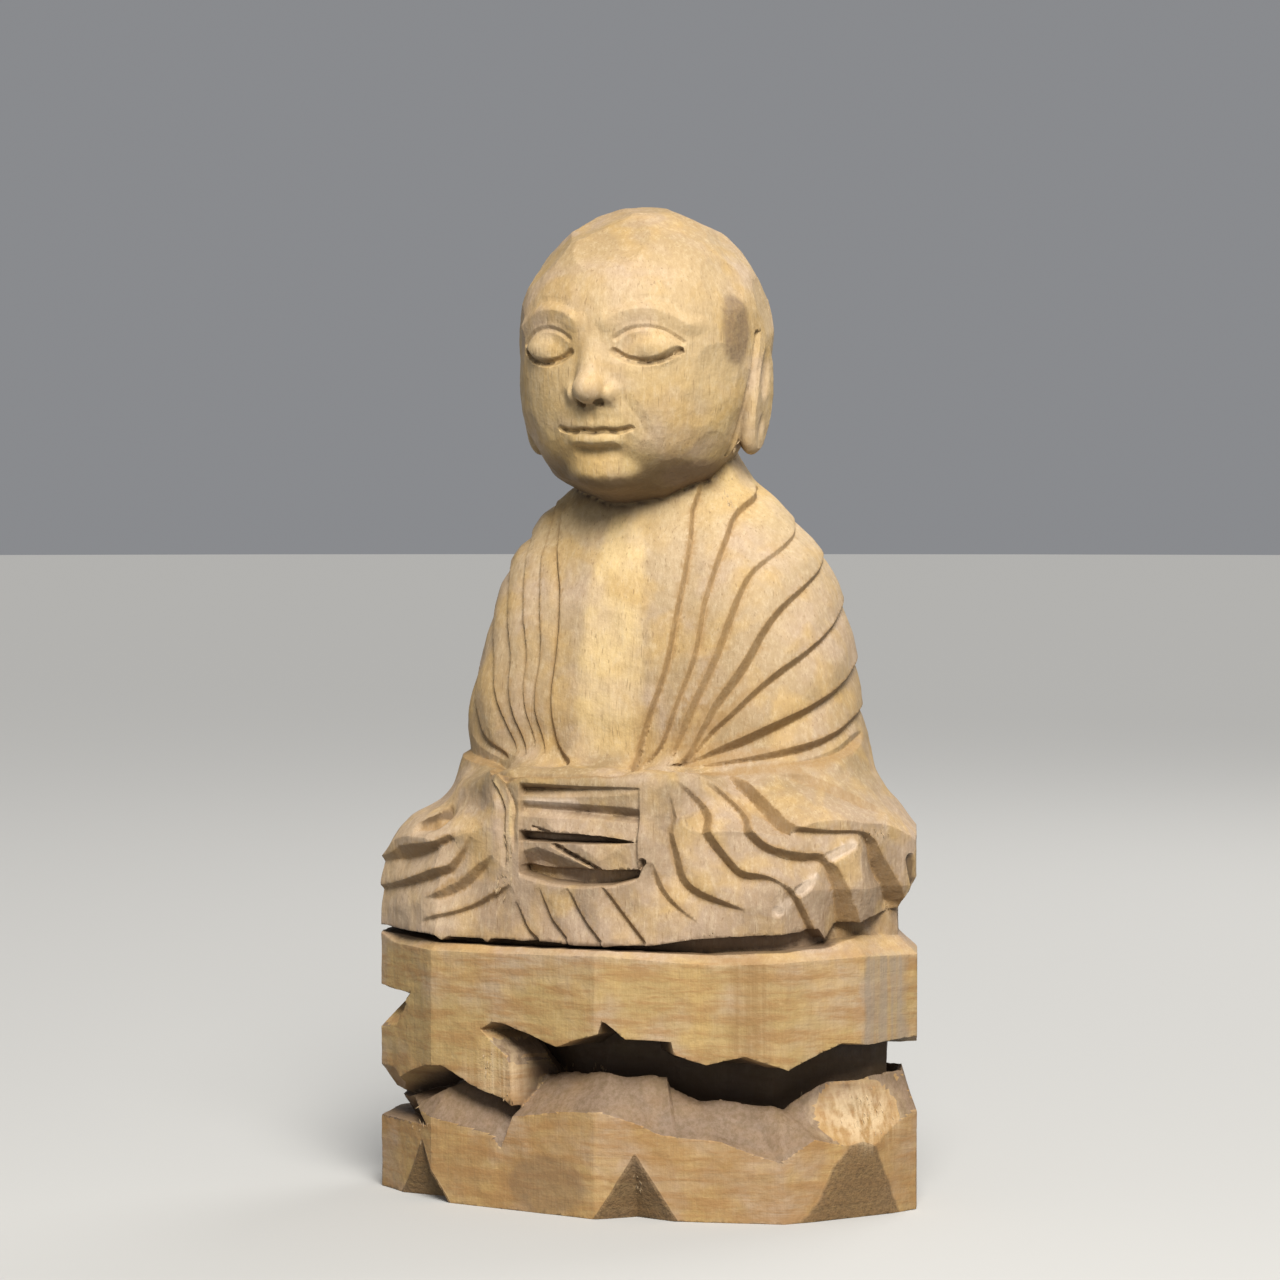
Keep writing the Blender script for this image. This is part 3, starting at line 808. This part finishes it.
opened = np.zeros(len(P)); total = 0
for d, w in ((0.5, 1.0), (1.1, 1.0), (2.2, 1.0), (4.5, 0.8), (9.0, 0.6)):
    q = P + N * d
    opened += w * np.clip(many(statue, q[:, 0], q[:, 1], q[:, 2]) / (0.92 * d), 0, 1); total += w
opened /= total
plain = gradient(robe_plain, P, 0.3)
robe_part = np.clip((P[:, 2] - 43.5) / 0.8, 0, 1) * np.clip((117 - P[:, 2]) / 4, 0, 1)
wall = np.clip((0.90 - np.einsum("ij,ij->i", N, plain)) / 0.25, 0, 1) * robe_part
groove = np.zeros(len(P))
fold_depth(P[:, 0], P[:, 1], P[:, 2], groove)
groove *= robe_part
on_plain = P - plain * robe_plain(P[:, 0], P[:, 1], P[:, 2])[:, None]
deep = np.zeros(len(P))
for (A, B), w, D in CUT:
    deep = np.maximum(deep, np.clip((w + 0.2 - to_line(on_plain, A, B)) / 0.3, 0, 1))
first_cut = surface_point([-62.6, -65.6], [62.9, 61.3], robe_plain)
deep = np.maximum(deep, np.clip((1.25 - to_line(on_plain, first_cut[0], first_cut[1])) / 0.5, 0, 1) * groove) * robe_part
chip, fresh = (np.max([np.clip((w + 0.15 - to_line(on_plain, a, b)) / 0.25, 0, 1) for a, b, w in rows], 0) * robe_part for rows in (CHIPS, FRESH))
depth = np.clip(-plan_dist(P[:, 0], P[:, 1]), 0, 20)
inner = np.clip((depth - 1.2) / 3.5, 0, 1) * np.clip((33.5 - P[:, 2]) / 1.5, 0, 1) * np.clip((P[:, 2] - 9) / 2, 0, 1)
inner *= np.clip(1 - (N[:, 2] - 0.15) * 2.2, 0, 1)
inside_plan = np.degrees(np.arctan2(P[:, 0], P[:, 1]))
# how far each point lies from the notches at the foot and the struck corners, in mm
cut = np.full(len(P), -9.0)
for a0, w, h, dp in NOTCHES:
    s_ = np.radians((inside_plan - a0 + 180) % 360 - 180) * np.hypot(*plan_point(a0))
    g = 1 - np.abs(s_) / w - P[:, 2] / h + np.minimum(plan_dist(P[:, 0], P[:, 1]), 0) / dp
    cut = np.maximum(cut, g / math.sqrt(1 / w**2 + 1 / h**2 + 1 / dp**2))
for (a0, h), a1, a2 in CORNERS:
    A = np.array([*plan_point(a0), h]); B = np.array([*plan_point(a1), 0]); C_ = np.array([*plan_point(a2), 0])
    n = np.cross(B - A, C_ - A); n /= np.linalg.norm(n)
    n *= 1 if n[:2] @ A[:2] > 0 else -1
    cut = np.maximum(cut, (P - A) @ n)
cut = np.where(P[:, 2] < 13, cut, -9.0)
under = np.clip((-N[:, 2] - 0.3) / 0.3, 0, 1) * np.clip((P[:, 2] - 108) / 2, 0, 1) * np.clip((122 - P[:, 2]) / 4, 0, 1)
splintered = np.clip(1.5 - np.linalg.norm((P - [38.5, 5.8, 16.2]) / [6.5, 6.5, 4.6], axis=1), 0, 1)
splintered = np.maximum(splintered, np.clip(1.5 - np.linalg.norm((P - [-18.0, 21.0, 21.8]) / [4.5, 5, 4.6], axis=1), 0, 1) * 0.8)
splintered = np.maximum(splintered, np.clip(1.4 - np.linalg.norm((P - [-15.6, 20.6, 59.0]) / [1.6, 4, 8.5], axis=1), 0, 1) * 0.7)
stain = np.clip((1.25 - np.linalg.norm((P - [17.0, 5.6, 140.2]) / [4.0, 3.0, 4.9], axis=1)) / 0.22, 0, 1)
stain = np.maximum(stain, np.clip((1.2 - np.linalg.norm((P - [11.6, 7.5, 117.0]) / [5.4, 6, 2.4], axis=1)) / 0.3, 0, 0.9))
knot_at = surface_point([-17.5], [4.6], statue)[0]
stain = np.maximum(stain, np.clip((1.15 - np.linalg.norm((P - knot_at) / [7.0, 6, 4.4], axis=1)) / 0.3, 0, 0.55))
pale = np.clip((-49 - inside_plan) / 5, 0, 1) * np.clip((inside_plan + 112) / 6, 0, 1) * np.clip((P[:, 2] - 43.5) / 1, 0, 1) * np.clip((64 - P[:, 2]) / 4, 0, 1)
breast = np.clip((inside_plan + 30) / 5, 0, 1) * np.clip((21 - inside_plan) / 5, 0, 1) * np.clip((P[:, 2] - 72) / 2, 0, 1) * np.clip((113 - P[:, 2]) / 3, 0, 1)
torn = (np.arange(len(P)) >= whole_points).astype(float)
for name, a in (("opened", opened), ("wall", wall), ("inner", inner), ("splintered", splintered), ("cut", cut), ("under", under),
                ("stain", stain), ("breast", breast), ("torn", torn), ("groove", groove), ("chip", chip), ("fresh", fresh), ("deep", deep),
                ("pale", pale)):
    mesh.attributes.new(name, "FLOAT", "POINT").data.foreach_set("value", a.astype(np.float32))

# by face, where a facet's edges bound the colour: the rock's upper flats
middle = np.zeros(len(mesh.polygons) * 3, np.float32); mesh.polygons.foreach_get("center", middle)
facing = np.zeros(len(mesh.polygons) * 3, np.float32); mesh.polygons.foreach_get("normal", facing)
M = middle.reshape(-1, 3).astype(float) / MM * FLIP
facing = facing.reshape(-1, 3).astype(float) * FLIP
around = np.degrees(np.arctan2(M[:, 0], M[:, 1]))
near_patch = np.linalg.norm((M - [38.5, 5.8, 16.2]) / [7.5, 7.5, 6], axis=1) < 1
top = (facing[:, 2] > 0.28) & (M[:, 2] > 8) & (M[:, 2] < 27) & ~near_patch
mesh.attributes.new("top", "FLOAT", "FACE").data.foreach_set("value", top.astype(np.float32))

# shading normals straight from the field, so that knife flats meet in crisp edges and rounded ridges stay round
lv = np.zeros(len(mesh.loops), np.int32); mesh.loops.foreach_get("vertex_index", lv)
per = np.zeros(len(mesh.polygons), np.int32); mesh.polygons.foreach_get("loop_total", per)
face = np.repeat(np.arange(len(per)), per)
centre = np.zeros(len(per) * 3, np.float32); mesh.polygons.foreach_get("center", centre)
flat = np.zeros(len(per) * 3, np.float32); mesh.polygons.foreach_get("normal", flat)
centre = centre.reshape(-1, 3).astype(float) / MM * FLIP
flat = flat.reshape(-1, 3).astype(float)
S = P[lv] * 0.7 + centre[face] * 0.3
G = np.concatenate([gradient(statue, S[k:k + 150000], 0.1) for k in range(0, len(S), 150000)]) * FLIP
G = np.where(np.einsum("ij,ij->i", G, flat[face])[:, None] > 0.4, G, flat[face])
G[face >= whole] = flat[face[face >= whole]]
order = np.argsort(lv, kind="stable")
first = np.searchsorted(lv[order], np.arange(len(P)))
count = np.bincount(lv, minlength=len(P))
for k in np.unique(count[count > 1]):
    rows = order[first[count == k][:, None] + np.arange(k)]
    g = G[rows]
    near = (np.einsum("mid,mjd->mij", g, g) > math.cos(math.radians(5))).astype(float)
    g = near @ g
    G[rows] = g / np.linalg.norm(g, axis=2, keepdims=True)
mesh.normals_split_custom_set(G.astype(np.float32))

# ---------------------------------------------------------------- the wood
def node(tree, kind, *ins, **props):
    n = tree.nodes.new(kind)
    for k, v in props.items():
        setattr(n, k, v)
    for key, v in ins:
        if isinstance(v, bpy.types.NodeSocket):
            tree.links.new(v, n.inputs[key])
        else:
            n.inputs[key].default_value = v
    return n

def rgb(*c):
    return (*c, 1.0)

def wood_material():
    m = bpy.data.materials.new("carved_wood")
    m.use_nodes = True
    t = m.node_tree
    bsdf = t.nodes["Principled BSDF"]
    where = node(t, "ShaderNodeTexCoord").outputs["Object"]
    z = node(t, "ShaderNodeSeparateXYZ", (0, where)).outputs["Z"]

    def noise(scale, stretch=(1, 1, 1), detail=2.0, rough=0.5, distortion=0.0):
        p = node(t, "ShaderNodeMapping", ("Vector", where), ("Scale", stretch)).outputs[0]
        return node(t, "ShaderNodeTexNoise", ("Vector", p), ("Scale", scale), ("Detail", detail), ("Roughness", rough),
                    ("Distortion", distortion)).outputs["Fac"]

    def span(v, a, b, c=0.0, d=1.0):
        return node(t, "ShaderNodeMapRange", ("Value", v), ("From Min", a), ("From Max", b), ("To Min", c), ("To Max", d),
                    clamp=True).outputs["Result"]

    def math_(op, a, b=0.0):
        return node(t, "ShaderNodeMath", (0, a), (1, b), operation=op).outputs[0]

    def mix(f, a, b, how="MIX"):
        n = node(t, "ShaderNodeMix", data_type="RGBA", blend_type=how)
        for key, v in (("Factor", f), ("A", a), ("B", b)):
            s = [i for i in n.inputs if i.name == key and (key == "Factor" and i.type == "VALUE" or i.type == "RGBA")][0]
            if isinstance(v, bpy.types.NodeSocket):
                t.links.new(v, s)
            else:
                s.default_value = v
        return [o for o in n.outputs if o.type == "RGBA"][0]

    def attribute(name):
        return node(t, "ShaderNodeAttribute", attribute_name=name).outputs["Fac"]

    # body colour by height, broken up
    heights = node(t, "ShaderNodeValToRGB", (0, span(math_("ADD", z, math_("MULTIPLY", noise(70, detail=1.0), 0.006)), 0.003, 0.163)))
    ramp = heights.color_ramp
    stops = [(0.0, (0.39, 0.235, 0.092)), (0.12, (0.40, 0.24, 0.095)), (0.155, (0.46, 0.315, 0.128)), (0.24, (0.46, 0.315, 0.13)),
             (0.265, (0.385, 0.272, 0.180)), (0.395, (0.375, 0.268, 0.172)), (0.43, (0.325, 0.228, 0.115)), (0.50, (0.385, 0.270, 0.145)),
             (0.66, (0.50, 0.37, 0.22)), (0.73, (0.57, 0.405, 0.175)), (0.86, (0.56, 0.405, 0.215)), (0.925, (0.51, 0.365, 0.195)), (0.96, (0.42, 0.295, 0.15)), (1.0, (0.35, 0.24, 0.12))]
    while len(ramp.elements) < len(stops):
        ramp.elements.new(0.5)
    for e, (at, c) in zip(ramp.elements, stops):
        e.position = at; e.color = rgb(*c)
    col = heights.outputs["Color"]
    patch = noise(150, detail=3.0, distortion=0.5)
    col = mix(math_("MULTIPLY", attribute("breast"), span(patch, 0.25, 0.6, 0.8, 1.0)), col, rgb(0.71, 0.52, 0.255))
    col = mix(span(noise(95, detail=3.0), 0.46, 0.66, 0, 0.6), col, rgb(0.50, 0.37, 0.27))       # pinker patches
    col = mix(span(noise(130, detail=3.0, distortion=0.4), 0.48, 0.66, 0, 0.65), col, rgb(0.53, 0.345, 0.125))  # golden patches
    col = mix(math_("MULTIPLY", attribute("pale"), span(patch, 0.3, 0.6, 0.25, 0.6)), col, rgb(0.60, 0.45, 0.30))
    # growth and fibres run upright
    fibre = noise(2600, (1, 1, 0.05), 3.0, 0.6)
    col = mix(span(fibre, 0.3, 0.7, 0.16, 0.0), col, rgb(0.30, 0.19, 0.09))
    mottle = noise(1150, (1, 1, 0.4), 4.0, 0.8)
    col = mix(span(mottle, 0.50, 0.70, 0, 0.34), col, rgb(0.33, 0.215, 0.105))
    low = span(z, 0.040, 0.044, 1, 0)
    col = mix(math_("MULTIPLY", span(mottle, 0.32, 0.50, 0.30, 0), span(low, 0, 1, 1, 0.35)), col, rgb(0.72, 0.585, 0.385))
    vein = noise(420, (1, 1, 0.045), 2.0)
    col = mix(span(vein, 0.56, 0.74, 0, 0.28), col, rgb(0.36, 0.23, 0.11))
    pore = noise(3300, (1, 1, 0.11), 1.0, 0.4)
    col = mix(math_("MULTIPLY", span(pore, 0.66, 0.74, 0, 0.45), span(low, 0, 1, 1, 0.35)), col, rgb(0.22, 0.13, 0.06))
    # faint ripple across the block below
    ripple = noise(640, (0.14, 0.14, 1), 4.0, 0.68, 0.3)
    col = mix(math_("MULTIPLY", span(ripple, 0.44, 0.60, 0, 0.66), low), col, rgb(0.35, 0.185, 0.068))
    col = mix(math_("MULTIPLY", span(ripple, 0.30, 0.42, 0.25, 0), low), col, rgb(0.56, 0.41, 0.19))
    upper = mix(span(mottle, 0.40, 0.62), rgb(0.235, 0.162, 0.112), rgb(0.165, 0.112, 0.066))
    col = mix(math_("MULTIPLY", attribute("top"), span(patch, 0.3, 0.6, 0.72, 0.95)), col, upper)
    streak = noise(900, (1, 1, 0.03), 2.0)
    # two upright bands on the slab's left side: a brown one and a greyer, weathered one; turn runs round the block
    xyz = node(t, "ShaderNodeSeparateXYZ", (0, where))
    turn = math_("ADD", math_("MULTIPLY", math_("ARCTAN2", xyz.outputs["X"], math_("MULTIPLY", xyz.outputs["Y"], -1.0)), 57.29578),
                 math_("MULTIPLY", math_("SUBTRACT", noise(170, detail=2.0), 0.5), 5.0))
    slab = math_("MULTIPLY", span(z, 0.0235, 0.026), span(z, 0.0425, 0.0405))
    def band(a0, a1, soft, top_):
        return math_("MULTIPLY", math_("MULTIPLY", span(turn, a0, a0 + soft, 0, top_), span(turn, a1 + soft, a1, 0, 1)), slab)
    col = mix(math_("MULTIPLY", band(77.5, 90.0, 1.6, 1.0), span(streak, 0.36, 0.6, 0.25, 0.75)), col, rgb(0.33, 0.262, 0.195))
    col = mix(math_("MULTIPLY", band(46.0, 55.0, 3.0, 1.0), span(streak, 0.36, 0.6, 0.15, 0.6)), col, rgb(0.30, 0.175, 0.065))
    crumb = noise(1500, detail=3.0, rough=0.7)
    struck = span(attribute("cut"), -0.34, -0.24)
    col = mix(math_("MULTIPLY", struck, span(crumb, 0.3, 0.62, 0.96, 0.62)), col, rgb(0.15, 0.092, 0.042))
    col = mix(math_("MULTIPLY", attribute("under"), 0.84), col, rgb(0.12, 0.075, 0.036))
    col = mix(math_("MULTIPLY", attribute("stain"), span(crumb, 0.3, 0.7, 0.85, 0.55)), col, rgb(0.19, 0.125, 0.075))
    col = mix(math_("MULTIPLY", attribute("splintered"), span(streak, 0.40, 0.62, 0.0, 0.75)), col, rgb(0.70, 0.53, 0.32))
    col = mix(math_("MULTIPLY", attribute("fresh"), span(streak, 0.38, 0.56, 0.35, 0.85)), col, rgb(0.68, 0.50, 0.26))
    col = mix(math_("MULTIPLY", attribute("chip"), span(mottle, 0.62, 0.42, 0.55, 0.9)), col, rgb(0.64, 0.50, 0.37))
    # darker where the knife went deep, dirt where a hand can't reach
    col = mix(math_("MULTIPLY", attribute("groove"), span(mottle, 0.60, 0.40, 0.78, 0.55)), col, rgb(0.34, 0.205, 0.082))
    col = mix(span(attribute("wall"), 0, 1, 0, 0.30), col, rgb(0.19, 0.115, 0.05))
    col = mix(span(attribute("deep"), 0, 1, 0, 0.8), col, rgb(0.10, 0.060, 0.030))
    col = mix(span(attribute("opened"), 0.22, 0.86, 0.96, 0.0), col, rgb(0.085, 0.05, 0.026))
    col = mix(span(attribute("inner"), 0, 1, 0, 0.86), col, rgb(0.05, 0.032, 0.022))
    col = mix(span(attribute("torn"), 0.4, 0.6, 0, 0.45), col, rgb(0.60, 0.45, 0.27))
    t.links.new(col, bsdf.inputs["Base Color"])
    t.links.new(span(noise(800, detail=2.0), 0.3, 0.7, 0.58, 0.74), bsdf.inputs["Roughness"])
    bsdf.inputs["Specular IOR Level"].default_value = 0.35
    b1 = node(t, "ShaderNodeBump", ("Height", fibre), ("Strength", 0.8), ("Distance", 0.00008))
    b2 = node(t, "ShaderNodeBump", ("Height", math_("MULTIPLY", ripple, low)), ("Strength", 0.5), ("Distance", 0.00018), ("Normal", b1.outputs[0]))
    b3 = node(t, "ShaderNodeBump", ("Height", noise(300, detail=4.0, rough=0.6)), ("Strength", 0.6), ("Distance", 0.0005), ("Normal", b2.outputs[0]))
    rough_cut = math_("MULTIPLY", crumb, math_("MAXIMUM", struck, math_("MULTIPLY", attribute("splintered"), 0.8)))
    b4 = node(t, "ShaderNodeBump", ("Height", rough_cut), ("Strength", 0.8), ("Distance", 0.0003), ("Normal", b3.outputs[0]))
    t.links.new(b4.outputs[0], bsdf.inputs["Normal"])
    return m

mesh.materials.clear()
mesh.materials.append(wood_material())
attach(carving, "root")
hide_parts("arhat_statue")

# ---------------------------------------------------------------- floor, light, camera
def plain_material(name, colour, rough):
    m = bpy.data.materials.new(name)
    m.use_nodes = True
    b = m.node_tree.nodes["Principled BSDF"]
    b.inputs["Base Color"].default_value = rgb(*colour)
    b.inputs["Roughness"].default_value = rough
    return m

ground = bpy.data.meshes.new("floor")
ring_n = 64
ground.from_pydata([(6 * math.cos(a), 6 * math.sin(a), 0) for a in np.linspace(0, 2 * math.pi, ring_n, endpoint=False)], [], [tuple(range(ring_n))])
ground.materials.append(plain_material("floor", (0.50, 0.50, 0.49), 0.95))
floor = bpy.data.objects.new("floor", ground)
bpy.context.scene.collection.objects.link(floor)
floor.visible_diffuse = False       # the figure's underside isn't lit up from below

def lamp(name, azimuth, elevation, distance, size, energy, colour, aim=(0, 0, 0.08)):
    l = bpy.data.lights.new(name, "AREA")
    l.shape = "DISK"; l.size = size; l.energy = energy; l.color = colour
    o = bpy.data.objects.new(name, l)
    bpy.context.scene.collection.objects.link(o)
    a, e = math.radians(azimuth), math.radians(elevation)
    back = Vector((math.sin(a) * math.cos(e), -math.cos(a) * math.cos(e), math.sin(e)))
    o.location = Vector(aim) + back * distance
    o.rotation_euler = (-back).to_track_quat("-Z", "Y").to_euler()

sun = bpy.data.objects.new("sun", bpy.data.lights.new("sun", "SUN"))
bpy.context.scene.collection.objects.link(sun)
sun.data.energy = 2.7; sun.data.angle = math.radians(32); sun.data.color = (1.0, 0.97, 0.92)
sun.rotation_euler = (-Vector((math.sin(math.radians(34)) * 0.656, -math.cos(math.radians(34)) * 0.656, 0.755))).to_track_quat("-Z", "Y").to_euler()
lamp("key", 28, 36, 0.55, 0.2, 2.4, (1.0, 0.965, 0.90), aim=(0, 0, 0.10))
lamp("back", 165, 40, 0.9, 0.5, 2.6, (1.0, 0.97, 0.93))
world = bpy.data.worlds.new("studio")
bpy.context.scene.world = world
world.use_nodes = True
world.node_tree.nodes["Background"].inputs["Color"].default_value = rgb(0.93, 0.95, 1.0)
world.node_tree.nodes["Background"].inputs["Strength"].default_value = 0.27

CAMERA_TURN, CAMERA_YAW, CAMERA_DOWN = math.radians(22.5), math.radians(0.1209), math.radians(2.147)
CAMERA_AWAY, CAMERA_HEIGHT, CAMERA_LENS = 0.6938, 0.1164, 120.375
a = CAMERA_TURN + CAMERA_YAW
right = Vector((math.cos(a), math.sin(a), 0))
forward = Vector((-math.sin(a) * math.cos(CAMERA_DOWN), math.cos(a) * math.cos(CAMERA_DOWN), -math.sin(CAMERA_DOWN)))
up = right.cross(forward)
camera = bpy.data.objects.new("camera", bpy.data.cameras.new("camera"))
bpy.context.scene.collection.objects.link(camera)
camera.data.sensor_width = 36; camera.data.lens = CAMERA_LENS
camera.data.clip_start = 0.01; camera.data.clip_end = 50
camera.matrix_world = Matrix(((right.x, up.x, -forward.x, CAMERA_AWAY * math.sin(CAMERA_TURN)),
                              (right.y, up.y, -forward.y, -CAMERA_AWAY * math.cos(CAMERA_TURN)),
                              (right.z, up.z, -forward.z, CAMERA_HEIGHT), (0, 0, 0, 1)))
bpy.context.scene.camera = camera
bpy.context.scene.view_settings.view_transform = "Standard"

print("triangles", sum(len(p.vertices) - 2 for p in mesh.polygons))
